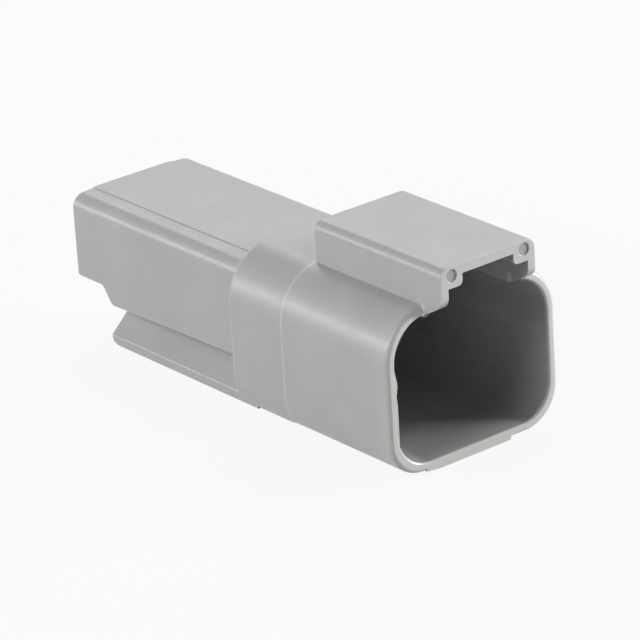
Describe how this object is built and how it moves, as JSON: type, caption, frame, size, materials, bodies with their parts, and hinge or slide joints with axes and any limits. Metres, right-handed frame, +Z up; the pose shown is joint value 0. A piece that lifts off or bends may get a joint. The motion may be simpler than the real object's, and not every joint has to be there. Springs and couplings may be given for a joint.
{
  "type": "sealed automotive connector receptacle",
  "caption": "Sealed in-line wire-to-wire receptacle: moulded shroud with a raised latch housing, a rear body with a clip rail, a silicone wire seal, a wedge lock and pin contacts.",
  "frame": {"origin": "centre of the bounding box in plan, on the plane that the clip rail and the floor pad stand on", "axes": "+X along the mating axis, out of the mouth; +Y to the left when looking out of the mouth; +Z up, the side of the latch housing"},
  "size_m": [0.0472, 0.018, 0.018],
  "materials": {
    "housing": "light grey moulded thermoplastic, satin",
    "seal": "orange-red silicone, dull",
    "wedge": "orange moulded thermoplastic, satin",
    "contact": "nickel-plated turned copper alloy"
  },
  "bodies": {
    "receptacle": {"housing": "housing", "wire_seal": "seal", "contact_pin_left": "contact", "contact_pin_right": "contact"},
    "wedge": {"wedge_lock": "wedge"}
  },
  "joints": [
    {"name": "wedge_slide", "type": "slide", "parent": "receptacle", "child": "wedge", "axis": [1, 0, 0], "range_m": [0, 0.028]}
  ]
}
